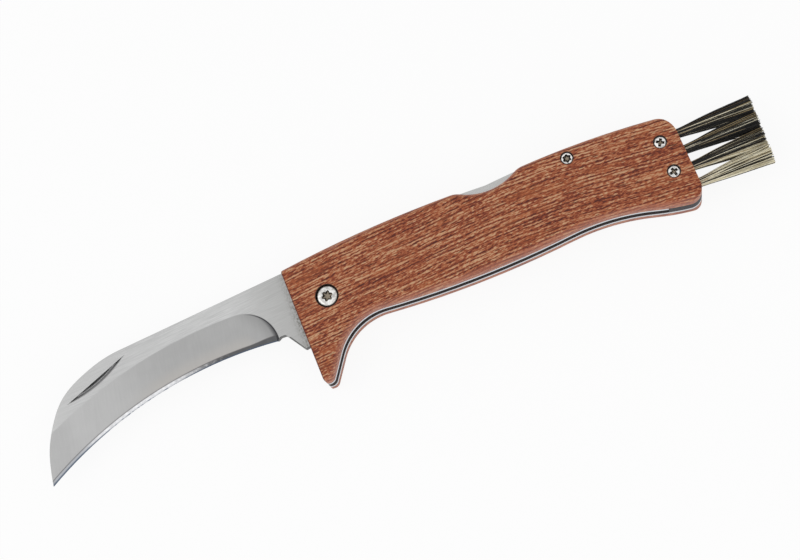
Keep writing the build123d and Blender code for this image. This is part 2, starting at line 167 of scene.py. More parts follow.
# %% Node trees
class Board:
    """A node tree with its surface or background shader."""

    def __init__(self, owner, shader, **settings):
        owner.use_nodes = True
        self.owner = owner
        self.tree = owner.node_tree
        self.shader = self.tree.nodes[shader]
        self.set(**settings)

    def set(self, **settings):
        """Constants or wires for the shader's sockets, with _ for the space in a name."""
        for name, value in settings.items():
            self.plug(self.shader.inputs[name.replace("_", " ")], value)

    def plug(self, socket, value):
        if isinstance(value, Wire):
            self.tree.links.new(value.socket, socket)
        else:
            socket.default_value = value

    def add(self, kind, settings, inputs, output=0):
        """A node of a kind: its settings, a ramp's stops among them, then its inputs."""
        node = self.tree.nodes.new(kind)
        for name, value in settings.items():
            if name == "stops":
                ramp = node.color_ramp.elements
                for place, (position, colour) in enumerate(value):
                    stop = ramp[place] if place < 2 else ramp.new(position)
                    stop.position = position
                    stop.color = (*colour, 1)
            else:
                setattr(node, name, value)
        for name, value in inputs.items():
            self.plug(node.inputs[name], value)
        return Wire(self, node.outputs[output])


# %% [markdown]
# A finish is a material's node tree, with a method for each thing that most finishes need:
# noise in cells of a real size, a smooth step between two values, a mix of two colours, a
# tint over a tone, and a bump of a real depth. Measuring in millimetres is what makes a
# pattern look as large as it is on the knife.


# %% Finishes, and solids that wear them
class Finish(Board):
    """A new material, whose patterns and colours lie in the knife's own space."""

    def __init__(self, name, **settings):
        super().__init__(bpy.data.materials.new(name), "Principled BSDF", **settings)

    def coordinates(self, name):
        """Texture coordinates of one kind, Object or Normal."""
        return self.add("ShaderNodeTexCoord", {}, {}, name)

    def cells(self, size, turned=0.0, shift=(0, 0, 0), place=None):
        """Object coordinates counted in cells of a size in mm, turned about the vertical."""
        return self.add(
            "ShaderNodeMapping",
            {"vector_type": "TEXTURE"},
            {
                "Vector": place or self.coordinates("Object"),
                "Location": [x * mm for x in shift],
                "Rotation": (0, 0, math.radians(turned)),
                "Scale": [x * mm for x in size],
            },
        )

    def axes(self, vector):
        """The three parts of a vector."""
        split = self.add("ShaderNodeSeparateXYZ", {}, {0: vector})
        return split, split.output("Y"), split.output("Z")

    def noise(self, vector, detail, roughness, distortion=0.0):
        return self.add(
            "ShaderNodeTexNoise",
            {},
            {
                "Vector": vector,
                "Scale": 1.0,
                "Detail": detail,
                "Roughness": roughness,
                "Distortion": distortion,
            },
        )

    def between(self, value, low, high):
        """0 below low and 1 above high, smooth between them; low may be the higher one."""
        return self.add(
            "ShaderNodeMapRange",
            {"interpolation_type": "SMOOTHSTEP"},
            {"Value": value, "From Min": low, "From Max": high},
        )

    def mix(self, share, first, second):
        """Two colours, each a wire or three numbers, mixed by a share of the second."""
        inputs = {0: share}
        for place, colour in ((6, first), (7, second)):
            inputs[place] = colour if isinstance(colour, Wire) else (*colour, 1)
        return self.add("ShaderNodeMix", {"data_type": "RGBA"}, inputs, 2)

    def tint(self, tone, tint, where):
        """A tone under a tint, which is a colour and the most that it covers, up to 1."""
        colour, most = tint
        return self.mix(where * most, tone, colour)

    def bump(self, height, depth, strength):
        """A normal from a height from 0 to 1 that stands for a depth in mm."""
        return self.add(
            "ShaderNodeBump",
            {},
            {"Height": height, "Distance": depth * mm, "Strength": strength},
        )


def paint(board, *names):
    """Give solids a finish, through the material slots that they already have."""
    for name in names:
        for slot in nodes[name].material_slots:
            slot.material = board.owner
    print(board.owner.name, "on", ", ".join(names))


# %% [markdown]
# ## Wood
#
# The scales are an oiled reddish-brown hardwood. Its grain runs along the handle, a few
# degrees steeper than the handle itself, and bends level with it towards the brush, which
# a shift of the coordinates does. Up close it is a dense weave: long threads, short
# fibres and shorter tan flecks that cross them at a small angle, in soft bands of lighter
# and darker wood. Each is a noise in cells that are long along the grain and thin across
# it, so all of them are real sizes in millimetres. A sine across the grain, whose phase
# wanders, adds the growth lines a millimetre apart. The sum picks a colour from one ramp,
# from the maroon of the shaded fibres to the tan of the flecks. Near-black pores and a few
# long streaks lie on top. The same noise fills the solid, so the grain also runs on over
# the rounded edges, where sanding has left the wood smoother and pinker. The front end is
# cut across the grain, and a narrow band of painted shade darkens it next to the blade.

# %% Where the wood changes
grain_turn = 5.0
bend = {"from": 45, "length": 30, "slope": 0.15}
front_cut = {"at": -9.4, "height": -1.94, "lean": 0.0612}
screw_holes = {
    "pivot": {"place": (0, 0), "radius": 3.2},
    "spacer": {"place": (75.13, 13.56), "radius": 1.75},
    "brush_upper": {"place": (100.5, 8.66), "radius": 1.8},
    "brush_lower": {"place": (101.12, -0.515), "radius": 1.8},
}
# Rings of painted shade, with burnt wood, at the walls of the screw holes.
scorch_and_shade = {"reach": (0.25, 0.05), "most": 0.94}
print("grain bends from", bend["from"], "to", bend["from"] + bend["length"], "mm")


def distance(x, y, centre):
    """How far in mm a point lies from a centre, seen from above."""
    away_x = x - centre[0]
    away_y = y - centre[1]
    return (away_x * away_x + away_y * away_y) ** 0.5


def behind_front(x, y):
    """How far in mm a point lies behind the front end of the scales."""
    return x - front_cut["at"] + (y - front_cut["height"]) * front_cut["lean"]


def ringed(board, x, y):
    """Nearly 1 at the walls of the screw holes, where the wood is burnt and in painted shade."""
    burn_and_shade = 0.0
    for hole in screw_holes.values():
        from_wall = distance(x, y, hole["place"]) - hole["radius"]
        burn_and_shade = board.between(from_wall, *scorch_and_shade["reach"]) + burn_and_shade
    return burn_and_shade.lower(scorch_and_shade["most"])


def straightened(board, x, y, z):
    """The place of a point once the bend of the grain is taken out."""
    curved = (x - bend["from"]).higher(0).lower(bend["length"])
    beyond = (x - bend["from"] - bend["length"]).higher(0)
    rise = (curved * curved * (0.5 / bend["length"]) + beyond) * bend["slope"]
    return board.add("ShaderNodeCombineXYZ", {}, {0: x * mm, 1: (y + rise) * mm, 2: z * mm})


# %% Wood finish
weave_tones = (
    (0.14, (0.080, 0.014, 0.009)),
    (0.33, (0.195, 0.034, 0.012)),
    (0.49, (0.325, 0.082, 0.031)),
    (0.66, (0.435, 0.152, 0.067)),
    (0.86, (0.600, 0.352, 0.198)),
)
# A tint is a colour and the most that it covers.
wood_tints = {
    "warm": ((0.44, 0.125, 0.040), 0.35),
    "streak": ((0.105, 0.026, 0.020), 0.6),
    "pore": ((0.045, 0.013, 0.010), 0.8),
    "sanded": ((0.43, 0.185, 0.135), 0.34),
    # Painted shade along the front end of the scales, next to the blade.
    "front_end_shade": ((0.085, 0.018, 0.014), 0.75),
    "scorched_and_shaded": ((0.012, 0.009, 0.008), 1.0),
}
front_end_shade_depth = (0.42, 0.12)


def wood_finish(name, shift):
    """The scales' wood, with its pattern moved by shift so that no two pieces match."""
    board = Finish(name, IOR=1.5, Specular_IOR_Level=0.3)
    x, y, z = board.axes(board.cells((1, 1, 1)))
    straight = straightened(board, x, y, z)

    def grain_cells(size, turned=0):
        return board.cells(size, grain_turn + turned, shift, straight)

    def grain(size, turned, detail, roughness, distortion):
        return board.noise(grain_cells(size, turned), detail, roughness, distortion)

    bands = grain((34, 3.4, 3.4), 0, 2, 0.5, 0.5)
    warmth = grain((15, 2.2, 2.2), 3, 2, 0.5, 0.4)
    threads = grain((15, 0.42, 0.6), 0, 0, 0.5, 0.2)
    fibres = grain((3.8, 0.38, 0.5), 1, 1, 0.45, 0.2)
    flecks = grain((0.95, 0.31, 0.45), 8, 1, 0.4, 0.3)
    pores = grain((3.4, 0.33, 0.5), 1, 1, 0.5, 0.2)
    streaks = grain((24, 0.6, 1.1), 0, 2, 0.6, 0.3)
    wander = grain((12, 2.6, 2.6), 0, 1, 0.5, 0.0)
    _, across, depth = board.axes(grain_cells((1, 1.0, 2.5)))
    ripple = ((across + depth + wander * 1.8) * math.tau).sine()
    growth = board.between(ripple, 0.1, -0.95) * board.between(fibres, 0.30, 0.52)

    facing = abs(board.axes(board.coordinates("Normal"))[2])
    sanded = board.between(facing, 0.97, 0.70)
    calm = 1 - sanded * 0.35

    weave = (threads - 0.5) * 0.7 + ((fibres - 0.5) * 0.75 + (flecks - 0.5) * 1.3) * calm
    weave = weave - growth * 0.36 + (bands - 0.5) * 0.22 + 0.61
    tone = board.add("ShaderNodeValToRGB", {"stops": weave_tones}, {0: weave})
    tone = board.tint(tone, wood_tints["warm"], board.between(warmth, 0.5, 0.72))
    streak_share = board.between(streaks, 0.38, 0.28)
    tone = board.tint(tone, wood_tints["streak"], streak_share)
    pore_share = board.between(pores, 0.33, 0.27) * calm
    tone = board.tint(tone, wood_tints["pore"], pore_share)
    tone = board.tint(tone, wood_tints["sanded"], sanded)

    # A narrow band of painted shade along the front end, next to the blade.
    front_end_shade = board.between(behind_front(x, y), *front_end_shade_depth)
    tone = board.tint(tone, wood_tints["front_end_shade"], front_end_shade)
    # Painted shade, with burnt wood, in rings round the screw holes.
    tone = board.tint(tone, wood_tints["scorched_and_shaded"], ringed(board, x, y))

    relief = fibres * 0.5 + flecks * 0.2 - pore_share * 0.9 - streak_share * 0.3
    board.set(
        Base_Color=tone,
        Roughness=0.48 + fibres * 0.16 + pore_share * 0.2 - sanded * 0.08,
        Normal=board.bump(relief, 0.035, 0.7),
    )
    return board


paint(wood_finish("oiled_wood_front", (0, 0, 0)), "scale_front")
paint(wood_finish("oiled_wood_back", (31, 17, 9)), "scale_back")

# %% [markdown]
# ## Steel
#
# The blade shows how it was worked. Its flats are satin, with fine lines left along the
# spine by a belt, and beside the handle they carry dark speckles, partly staining and partly
# a painted reflection of the wood. The ground bevel is smoother and darker, with a painted
# warm sheen above the edge and painted shade round the plunge, where the wheel came out,
# darkest on its wall. The blade's own mesh stays, and its finish is divided by the same arc
# that the grind follows: a distance from the arc's centre for the length of the edge, and a
# distance from the edge's highest point for the rounded plunge. All of that is worked out
# once, as a map of the blade, and each part of the finish is a function that reads it.
# Whatever changes along the blade fades in between two places, written with the other sizes.

# %% Where the blade changes
edge_centre = (-27.6, -124.51)
edge_radius = 119.12
edge_apex = (-27.6, -5.39)
heel_x = -17.45
grind_height = 10.65
bevel_height = 1.1
bevel_widening = 0.6
spine_turn = 5.4
flat_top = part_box("blade")[1].z / mm
nick = {"place": (-70.2, 1.5), "reach": 9.2, "floor": 6.94, "glint_depth": 0.48}
kick = {
    "place": (-13.84, -7.03),
    "inward": (0.823, 0.567),
    "eased": (0.66, 0.36),
    "drop": (-5.9, -6.4),
}
# Where along the blade, in mm, each change begins and is complete.
fades = {
    "flat_by_handle": (-30, -12),
    "flat_by_tip": (-34, -70),
    "grind_to_tip": (-50, -72),
    "grind_at_tip": (-77, -84),
    "sheen": (-68, -50),
    "dull_heel": (-52, -34),
    "heel_speckles": (-30, -42),
    "wide_heel": (-26, -18),
    "grey_tip": (-72, -82),
}
print("arc of the edge in mm", edge_radius, "height of the grind", grind_height)


# %% Map of the blade
class BladeMap:
    """Where a point of the blade lies, and the patterns that the parts of its finish share."""

    def __init__(self, board):
        self.board = board
        self.x, self.y, self.z = board.axes(board.cells((1, 1, 1)))
        self.above_edge = distance(self.x, self.y, edge_centre) - edge_radius
        from_apex = distance(self.x, self.y, edge_apex)
        rear = board.between(self.x, edge_apex[0] - 0.01, edge_apex[0] + 0.01)
        self.height = self.above_edge + (from_apex - self.above_edge) * rear
        self.plunge = (self.x - edge_apex[0]) * (1 / grind_height)
        self.ground = board.between(self.height, grind_height + 0.05, grind_height - 0.2)
        self.edged = board.between(self.x, heel_x + 0.25, heel_x)

        self.brushing = board.noise(board.cells((6, 0.26, 0.5), spine_turn), 3, 0.7)
        self.cloud = board.noise(board.cells((11, 5, 5), spine_turn), 2, 0.5)
        self.polish = board.noise(board.cells((0.5, 6, 3), -8), 3, 0.6)
        self.dashes = board.noise(board.cells((1.1, 0.9, 0.9)), 2, 0.6)

        _, self.normal_y, normal_z = board.axes(board.coordinates("Normal"))
        self.narrow_face = board.between(abs(normal_z), 0.5, 0.25)

    def along(self, fade):
        """A change along the blade: 0 before its first place and 1 after its second."""
        return self.board.between(self.x, *fades[fade])


# %% Tones of the blade
satin_steel = ((0.31, 0.313, 0.312), (0.65, 0.652, 0.65))
ground_steel = ((0.313, 0.313, 0.312), (0.54, 0.54, 0.54))
stoned_steel = ((0.45, 0.455, 0.47), (0.98, 0.98, 1.0))
blade_tints = {
    "cloud": ((0.50, 0.50, 0.498), 0.3),
    "handled": ((0.34, 0.34, 0.332), 0.55),
    "worn": ((0.34, 0.34, 0.34), 0.36),
    # Dark speckles by the wood: partly staining, partly a painted reflection of the wood.
    "stain_and_reflection": ((0.12, 0.115, 0.095), 1.0),
    "sheen": ((0.44, 0.417, 0.39), 0.5),
    # Painted shade round the plunge: soft where the grind runs out, dark on its wall and brink.
    "run_out_shade": ((0.17, 0.17, 0.17), 0.5),
    "wall": ((0.075, 0.075, 0.080), 0.75),
    "brink_shade": ((0.035, 0.035, 0.040), 0.85),
    "dull_heel": ((0.048, 0.049, 0.052), 0.92),
    "grey_tip": ((0.27, 0.29, 0.32), 0.72),
    "point": ((0.12, 0.13, 0.14), 0.4),
    "border": ((0.12, 0.115, 0.115), 0.7),
    "edge_line": ((0.07, 0.10, 0.15), 1.0),
    "nick": ((0.15, 0.15, 0.154), 0.85),
    "glint": ((0.75, 0.75, 0.75), 0.8),
    "shade": ((0.045, 0.043, 0.042), 0.9),
}
print("tints on the blade", len(blade_tints))

# %% Flats and grind
stain_and_reflection_reach = (-3.4, -0.2)
stain_and_reflection_drop = (7, -3)
sheen_height = (5.5, 1.4)
run_out_shade_length = 5.5
plunge_widening = 3.2


def flat_tone(board, at):
    """Satin lines and clouds, a little darker at both ends, with staining and painted reflection
    near the wood.
    """
    tone = board.mix(at.brushing, *satin_steel)
    tone = board.tint(tone, blade_tints["cloud"], board.between(at.cloud, 0.4, 0.65))
    tone = board.tint(tone, blade_tints["handled"], at.along("flat_by_handle"))
    tone = board.tint(tone, blade_tints["worn"], at.along("flat_by_tip"))
    dark_speckles = board.noise(board.cells((0.45, 0.6, 0.6)), 4, 0.8)
    near_wood = board.between(behind_front(at.x, at.y), *stain_and_reflection_reach)
    lower_half = board.between(at.y, *stain_and_reflection_drop) * 0.45 + 0.5
    # Dark speckles beside the wood, partly staining and partly a painted reflection of it.
    stain_and_reflection_share = board.between(dark_speckles, 0.38, 0.66) * near_wood * lower_half
    return board.tint(tone, blade_tints["stain_and_reflection"], stain_and_reflection_share)


def grind_tone(board, at):
    """Smooth grey, a painted warm sheen above the edge, and painted shade on the plunge's wall."""
    towards_tip = at.along("grind_to_tip") - at.along("grind_at_tip") * 0.4
    shade = at.polish * 0.08 + at.cloud * 0.09 + towards_tip * 0.10
    tone = board.mix(shade * 2.5, *ground_steel)
    # A painted warm sheen above the edge.
    sheen = board.between(at.height, *sheen_height) * at.along("sheen")
    tone = board.tint(tone, blade_tints["sheen"], sheen)
    # Painted shade where the grind runs out at the plunge, darkest on its wall and brink.
    run_out_shade = board.between(at.height, grind_height - run_out_shade_length, grind_height)
    run_out_shade = run_out_shade * board.between(at.plunge, -0.1, 0.8)
    tone = board.tint(tone, blade_tints["run_out_shade"], run_out_shade)
    widened = at.height + at.plunge * at.plunge * plunge_widening
    wall = board.between(widened, grind_height + 0.3, grind_height + 2.0)
    wall = wall * board.between(at.plunge, 0.1, 0.5)
    tone = board.tint(tone, blade_tints["wall"], wall)
    brink_shade = board.between(at.height, grind_height - 0.55, grind_height - 0.2)
    brink_shade = brink_shade * board.between(at.plunge, 0.2, 0.7)
    return board.tint(tone, blade_tints["brink_shade"], brink_shade)


# %% [markdown]
# The cutting bevel is bright from the stone, with a dark line at each side of it. It is
# dull at the heel, which a stone hardly reaches, and greyer at the tip. The nail nick is
# told from the flat by its depth, near its own place and on the front flank alone, and is
# darkened by painted shade, with a painted glint. The narrow faces behind the heel are in
# painted shade.

# %% Edge, nick and kick
point_drop = (-21.6, -23.0)
worn_edge = {"middle": -58, "reach": (16, 9), "wear": 0.7}
edge_line = {"height": (0.36, 0.16), "rise_at_tip": 0.12, "most": 0.85}


def stoned_tone(board, at):
    """The cutting bevel as the stone left it: dull at the heel and greyer at the tip."""
    speckled = board.between(at.dashes, 0.5, 0.66) * at.along("heel_speckles")
    near_heel = at.along("dull_heel") * (1 - speckled * 0.3)
    tone = board.mix(at.dashes, *stoned_steel)
    tone = board.tint(tone, blade_tints["dull_heel"], near_heel)
    tone = board.tint(tone, blade_tints["grey_tip"], at.along("grey_tip"))
    return board.tint(tone, blade_tints["point"], board.between(at.y, *point_drop))


def with_edge(board, at, tone):
    """A tone with the cutting bevel, its border and the dark line of the edge over it."""
    wide = at.along("wide_heel") * bevel_widening + bevel_height
    cutting = board.between(at.above_edge, wide + 0.08, wide - 0.08) * at.edged
    tone = board.mix(cutting, tone, stoned_tone(board, at))
    border = board.between(abs(at.above_edge - wide), 0.22, 0.06) * at.edged
    tone = board.tint(tone, blade_tints["border"], border)

    line_height = at.above_edge - at.along("grey_tip") * edge_line["rise_at_tip"]
    line = board.between(line_height, *edge_line["height"]) * at.edged
    from_middle = abs(at.x - worn_edge["middle"])
    worn = board.between(from_middle, *worn_edge["reach"]) * worn_edge["wear"]
    left_dark = board.between(at.dashes, 0.42, 0.6) * worn
    return board.tint(tone, blade_tints["edge_line"], line * (edge_line["most"] - worn + left_dark))


def with_nick(board, at, tone):
    """A tone with painted shade in the nail nick, and a painted glint part of the way down its
    wall.
    """
    spine = at.narrow_face * board.between(at.normal_y, 0.1, 0.4)
    reach = distance(at.x, at.y, nick["place"])
    inside = board.between(reach, nick["reach"] + 0.4, nick["reach"])
    inside = inside * (1 - at.ground) * (1 - spine)
    inside = inside * board.between(at.z, nick["floor"] - 0.4, nick["floor"] - 0.2)
    # Painted shade in the sunk nick, then a painted glint part of the way down.
    sunk_shade = board.between(at.z, flat_top - 0.005, flat_top - 0.2) * inside
    tone = board.tint(tone, blade_tints["nick"], sunk_shade)
    from_glint = abs(at.z - flat_top + nick["glint_depth"])
    return board.tint(tone, blade_tints["glint"], board.between(from_glint, 0.12, 0.03) * inside)


def with_kick(board, at, tone):
    """A tone with the narrow faces behind the heel and the kick's eased corner in shade."""
    behind_heel = board.between(at.x, heel_x - 0.4, heel_x + 0.1) * board.between(at.y, 2, -1)
    inward_x = (at.x - kick["place"][0]) * kick["inward"][0]
    inward_y = (at.y - kick["place"][1]) * kick["inward"][1]
    eased = board.between(inward_x + inward_y, *kick["eased"])
    eased = eased * board.between(at.y, *kick["drop"])
    shaded = (at.narrow_face + eased * 0.9).lower(1) * behind_heel
    return board.tint(tone, blade_tints["shade"], shaded)


# %% Blade finish
def blade_finish():
    board = Finish("satin_blade", Metallic=1.0)
    at = BladeMap(board)
    tone = board.mix(at.ground, flat_tone(board, at), grind_tone(board, at))
    tone = with_edge(board, at, tone)
    tone = with_nick(board, at, tone)
    tone = with_kick(board, at, tone)
    relief = at.brushing * (1 - at.ground) + at.polish * 0.25 * at.ground
    board.set(
        Base_Color=tone,
        Roughness=0.40 - at.ground * 0.08 + (at.brushing - 0.5) * 0.12,
        Normal=board.bump(relief, 0.004, 0.5),
    )
    return board


paint(blade_finish(), "blade")

# %% [markdown]
# ## Bright edges
#
# The liners are mirror-bright along their cut edges, while their broad faces are hidden or
# lie deep in the slot for the blade, where they are nearly black: partly old oil, partly
# painted shade of the slot. One material does both, because the normal tells a broad face,
# which looks up or down, from an edge. The lock bar, its pin and its spring share the same
# fine lines in a duller steel.

# %% Liner, lock and washer finishes
# Old oil and painted shade of the slot, for the liners' broad faces.
old_oil_and_shade = (0.060, 0.046, 0.044)


def bright_steel(name, colour, roughness, along=4.0, oiled_and_shaded=0.0):
    """Steel with fine lines along the handle; old oil and painted shade on faces up or down."""
    board = Finish(name, Metallic=1.0)
    lines = board.noise(board.cells((along, 0.06, 0.06)), 3, 0.6)
    smear = board.noise(board.cells((6, 1.2, 1.2)), 2, 0.5)
    dull = [x * 0.72 for x in colour]
    tone = board.mix(board.between(lines, 0.35, 0.7) * 0.5 + smear * 0.25, colour, dull)
    if oiled_and_shaded:
        facing = abs(board.axes(board.coordinates("Normal"))[2])
        # Broad faces darkened with old oil and painted shade of the slot.
        broad = board.between(facing, 0.6, 0.9) * oiled_and_shaded
        tone = board.mix(broad, tone, old_oil_and_shade)
        board.set(Metallic=1 - broad)
    board.set(
        Base_Color=tone,
        Roughness=roughness + smear * 0.12,
        Normal=board.bump(lines, 0.003, 0.4),
    )
    return board


liner_steel = bright_steel("liner_steel", (0.66, 0.68, 0.71), 0.25, oiled_and_shaded=0.95)
lock_steel = bright_steel("lock_steel", (0.53, 0.53, 0.52), 0.3)
washer_bronze = bright_steel("washer_bronze", (0.62, 0.42, 0.20), 0.35, 1.0)
paint(liner_steel, "liner_front", "liner_back")
paint(lock_steel, "lock_bar", "lock_bar_pin", "lock_spring", "tuft_anchors")
paint(washer_bronze, "washer_front", "washer_back")

# %% [markdown]
# ## Moulded plastic
#
# The block that holds the brush, and the spacer behind the lock, are matt grey mouldings.
# Moulded plastic is never quite even: spark-eroded moulds leave a very fine grain, and
# handling leaves a few faintly shinier patches. Both are small noises, one in the bump
# and one in the roughness.

# %% Plastic finish
plastic_greys = ((0.018, 0.017, 0.020), (0.050, 0.047, 0.054))


def moulded_plastic():
    board = Finish("grey_moulding", IOR=1.46, Specular_IOR_Level=0.25)
    grain = board.noise(board.cells((0.12, 0.12, 0.12)), 2, 0.5)
    patches = board.noise(board.cells((5, 3, 3)), 2, 0.5)
    shade = grain * 0.5 + patches * 0.4
    board.set(
        Base_Color=board.mix(shade, *plastic_greys),
        Roughness=0.5 + patches * 0.2,
        Normal=board.bump(grain, 0.012, 0.6),
    )
    return board


paint(moulded_plastic(), "brush_block", "back_spacer")

# %% [markdown]
# ## Screws
#
# Each screw has a low domed head, sunk just below the wood. The pivot's and the spacer's
# take a six-lobed driver and the two at the brush a cross driver. A head is easiest to
# make from its recess outwards: one closed loop of vertices is given the recess's outline,
# and then extruded in rings, outwards to the dome and the rim, and down to the recess's
# floor. The loop for the lobes is a circle whose vertices are pushed in and out in six
# waves; the cross starts as twelve corners.

# %% Screw steel
screw_steel = bright_steel("screw_steel", (0.80, 0.79, 0.77), 0.26, 0.5)
paint(screw_steel, "pivot_barrel", "spacer_barrel", "brush_upper_barrel", "brush_lower_barrel")

# %% Rings and recesses
ring_vertices = 48
lobes = {"count": 6, "depth": 0.14}
cross_arm_share = 0.30


def ring(mesh, edges, outline):
    """Extrude a loop of edges and put each new vertex where outline says."""
    made = bmesh.ops.extrude_edge_only(mesh, edges=edges)["geom"]
    for vertex in (part for part in made if isinstance(part, bmesh.types.BMVert)):
        vertex.co = outline(vertex.co)
    return [part for part in made if isinstance(part, bmesh.types.BMEdge)]


def round_outline(radius, height):
    """Every vertex on a circle at a height, in its own direction from the axis."""
    def outline(point):
        away = Vector((point.x, point.y, 0)).normalized() * radius
        return Vector((away.x, away.y, height))

    return outline


def scaled_outline(share, height):
    """The same outline, smaller by a share, at a height."""
    return lambda point: Vector((point.x * share, point.y * share, height))


def lobed_loop(mesh, radius):
    """The mouth of a six-lobed recess, as a loop of edges at height zero."""
    made = bmesh.ops.create_circle(mesh, segments=ring_vertices, radius=radius)
    for vertex in made["verts"]:
        angle = math.atan2(vertex.co.y, vertex.co.x)
        wave = lobes["depth"] * math.cos(lobes["count"] * angle)
        vertex.co = vertex.co * (1 - lobes["depth"] + wave)
    return list(mesh.edges)


def cross_loop(mesh, radius):
    """The mouth of a cross recess, as a loop of edges at height zero."""
    arm = radius * cross_arm_share
    bmesh.ops.create_circle(mesh, segments=12, radius=radius)
    loop = sorted(mesh.verts, key=lambda vertex: math.atan2(vertex.co.y, vertex.co.x))
    for place, vertex in enumerate(loop):
        quarter = Matrix.Rotation(math.radians(90 * (place // 3)), 3, "Z")
        corner = ((-radius, -arm), (-arm, -arm), (-arm, -radius))[place % 3]
        vertex.co = quarter @ Vector((*corner, 0))
    bmesh.ops.subdivide_edges(mesh, edges=list(mesh.edges), cuts=3)
    return list(mesh.edges)


# %% Screw head finish
# Painted shade in the screw recesses starts below this height.
shade_top = 12.45
turned_steel = ((0.72, 0.71, 0.69), (0.92, 0.91, 0.89))
recess_shade = ((0.020, 0.016, 0.013), (0.26, 0.22, 0.17))
screw_tints = {"handled": ((0.30, 0.285, 0.27), 0.6), "grime": ((0.20, 0.17, 0.14), 0.4)}


def screw_head_finish():
    """Bright steel, patchy with handling, and painted shade in the recess: black walls, dim floor.
    """
    board = Finish("screw_head_steel", Metallic=1.0)
    z = board.axes(board.cells((1, 1, 1)))[2]
    grime = board.noise(board.cells((0.45, 0.45, 0.45)), 3, 0.6)
    patches = board.noise(board.cells((1.5, 1.1, 1.1), 30), 2, 0.6, 0.6)
    turning = board.noise(board.cells((0.9, 0.9, 0.12)), 2, 0.5)
    tone = board.mix(turning, *turned_steel)
    tone = board.tint(tone, screw_tints["handled"], board.between(patches, 0.46, 0.62))
    tone = board.tint(tone, screw_tints["grime"], board.between(grime, 0.56, 0.7))
    # Painted shade in the recess, near black on the walls and dim brown on the floor.
    deep = board.between(z, shade_top, shade_top - 0.15)
    level = board.between(abs(board.axes(board.coordinates("Normal"))[2]), 0.90, 0.985)
    sunk_shade = board.mix(level, *recess_shade)
    board.set(
        Base_Color=board.mix(deep, tone, sunk_shade),
        Roughness=0.26 + grime * 0.16 + deep * 0.15,
        Normal=board.bump(turning + patches, 0.008, 0.5),
    )
    return board


screw_finish = screw_head_finish()
print(screw_finish.owner.name, "nodes", len(screw_finish.tree.nodes))

# %% Make the screws
dome_share = 0.26
dome_power = 3.2
dome_steps = (0.35, 0.62, 0.85, 1.0)
recess_depth_share = 0.6
shank_share = 0.5
crease_angle = 40


def hand_over(data, name, replaced):
    """Turn a mesh into a smooth piece that rides on the handle and stands for a solid."""
    for face in data.polygons:
        face.use_smooth = True
    piece = bpy.data.objects.new(name, data)
    bpy.context.scene.collection.objects.link(piece)
    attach(piece, "handle")
    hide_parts(replaced)
    print(name, "faces", len(data.polygons))


def make_screw(name, place, radius, head_height, recess, recess_share, turned):
    """A screw from the front: domed head with its recess, and the shank below it."""
    low, high = (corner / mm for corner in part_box(name))
    top = high.z
    dome = dome_share * head_height
    mouth_height = top - dome * recess_share**dome_power
    under_head = top - head_height
    floor = top - recess_depth_share * head_height

    mesh = bmesh.new()
    mouth = recess(mesh, radius * recess_share)
    for vertex in mesh.verts:
        vertex.co.z = mouth_height
    edges = ring(mesh, mouth, scaled_outline(1.05, mouth_height + 0.02))
    for step in dome_steps:
        share = recess_share + (1 - recess_share) * step
        edges = ring(mesh, edges, round_outline(radius * share, top - dome * share**dome_power))
    for share, height in (
        (1.0, top - head_height * 0.96),
        (0.98, under_head),
        (shank_share, under_head),
        (shank_share, low.z + 0.2),
        (shank_share * 0.85, low.z),
    ):
        edges = ring(mesh, edges, round_outline(radius * share, height))
    bmesh.ops.holes_fill(mesh, edges=edges, sides=0)

    edges = mouth
    for share, height in ((0.95, mouth_height - 0.06), (0.88, floor + 0.25), (0.42, floor - 0.05)):
        edges = ring(mesh, edges, scaled_outline(share, height))
    bmesh.ops.holes_fill(mesh, edges=edges, sides=0)

    bmesh.ops.recalc_face_normals(mesh, faces=list(mesh.faces))
    spin = Matrix.Rotation(math.radians(turned), 4, "Z")
    bmesh.ops.transform(mesh, matrix=spin, verts=list(mesh.verts))
    bmesh.ops.translate(mesh, vec=Vector((*place, 0)), verts=list(mesh.verts))
    bmesh.ops.scale(mesh, vec=(mm, mm, mm), verts=list(mesh.verts))
    data = bpy.data.meshes.new(name + "_made")
    mesh.to_mesh(data)
    mesh.free()
    data.materials.append(screw_finish.owner)
    hand_over(data, name + "_made", name)
    data.set_sharp_from_angle(angle=math.radians(crease_angle))


# Radius and height of the head, recess, its share of the radius, and a turn in degrees.
screw_plan = {
    "pivot": (2.85, 1.5, lobed_loop, 0.60, 5),
    "spacer": (1.64, 1.1, lobed_loop, 0.86, 25),
    "brush_upper": (1.7, 1.1, cross_loop, 0.76, 62),
    "brush_lower": (1.7, 1.1, cross_loop, 0.76, 17),
}
for name, plan in screw_plan.items():
    make_screw(name + "_screw", screw_holes[name]["place"], *plan)

# %% [markdown]
# ## Brush
#
# A brush tuft is a few hundred hairs folded in two and pressed into a hole, so they leave
# it as a tight round bundle and fan out until they are cut off level. Real hair isn't one
# colour: here it runs from black to straw, with dark hairs on top and light ones below.
# Hairs suit curves with a round bevel: a few control points give each its own bend, and
# Blender makes the tube. The bundle is filled evenly by a sunflower pattern, each hair
# keeps its place in it while the bundle spreads, and a seeded random generator adds the
# unevenness, so that every run gives the same brush.

# %% Hair finishes
def hair_finish(name, dark, light):
    """One colour of hair, lighter in places along its length, with a soft gloss."""
    board = Finish(name, IOR=1.55, Specular_IOR_Level=0.35)
    along = board.noise(board.cells((5, 0.25, 0.25)), 2, 0.5)
    scales = board.noise(board.cells((0.3, 0.08, 0.08)), 2, 0.5)
    tone = board.mix(board.between(along, 0.32, 0.68), dark, light)
    board.set(
        Base_Color=tone,
        Roughness=0.40 + scales * 0.15,
        Normal=board.bump(scales, 0.01, 0.5),
    )
    return board.owner


